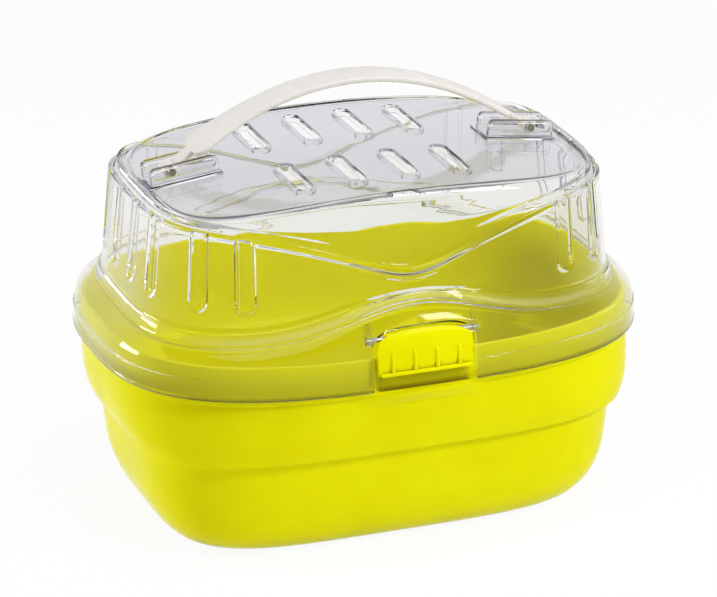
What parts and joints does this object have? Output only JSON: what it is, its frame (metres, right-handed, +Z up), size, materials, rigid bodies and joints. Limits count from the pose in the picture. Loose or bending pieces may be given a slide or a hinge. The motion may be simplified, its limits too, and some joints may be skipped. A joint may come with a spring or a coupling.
{
  "type": "small animal carrier",
  "caption": "Plastic carrier with a coloured tub, a clear hinged vented cover, a front press latch and a flexible carrying strap whose ends slide in roof rails.",
  "frame": {"origin": "middle of the tub's footprint, on the surface that the carrier stands on", "axes": "+Z up, +X along the length towards the carrier's right-hand end, -Y towards the latch, +Y towards the hinge"},
  "size_m": [0.3, 0.2278, 0.236],
  "materials": {
    "tub_plastic": "gloss",
    "clear_plastic": "clear gloss",
    "strap_plastic": "satin",
    "pin_steel": "satin"
  },
  "bodies": {
    "tub": {"base_tub": "tub_plastic", "hinge_pin_left": "pin_steel", "hinge_pin_right": "pin_steel"},
    "cover": {"clear_cover": "clear_plastic", "latch_pin": "pin_steel"},
    "latch": {"front_latch": "tub_plastic"},
    "grip": {"handle_strap": "strap_plastic"},
    "eye_left": {"handle_end_left": "strap_plastic", "cross_pin_left": "pin_steel"},
    "eye_right": {"handle_end_right": "strap_plastic", "cross_pin_right": "pin_steel"}
  },
  "joints": [
    {"name": "cover_hinge", "type": "hinge", "parent": "tub", "child": "cover", "pos_m": [0, 0.113, 0.0963], "axis": [-1, 0, 0], "range_deg": [0, 105]},
    {"name": "latch_hinge", "type": "hinge", "parent": "cover", "child": "latch", "pos_m": [0, -0.1003, 0.126], "axis": [-1, 0, 0], "range_deg": [-4, 25]},
    {"name": "strap_lift", "type": "slide", "parent": "cover", "child": "grip", "axis": [0, 0, 1], "range_m": [-0.019, 0.012], "stiffness_N_per_m": 300, "springref_m": 0.0005, "deforming": ["handle_strap"]},
    {"name": "eye_slide_left", "type": "slide", "parent": "grip", "child": "eye_left", "axis": [-0.4275, 0, 0.904], "range_m": [-0.0126, 0.0199]},
    {"name": "eye_slide_right", "type": "slide", "parent": "grip", "child": "eye_right", "axis": [0.4275, 0, 0.904], "range_m": [-0.0126, 0.0199]}
  ],
  "couplings": [
    {"joint": "eye_slide_left", "follows": "strap_lift", "ratio": -1.0444},
    {"joint": "eye_slide_right", "follows": "strap_lift", "ratio": -1.0444}
  ]
}
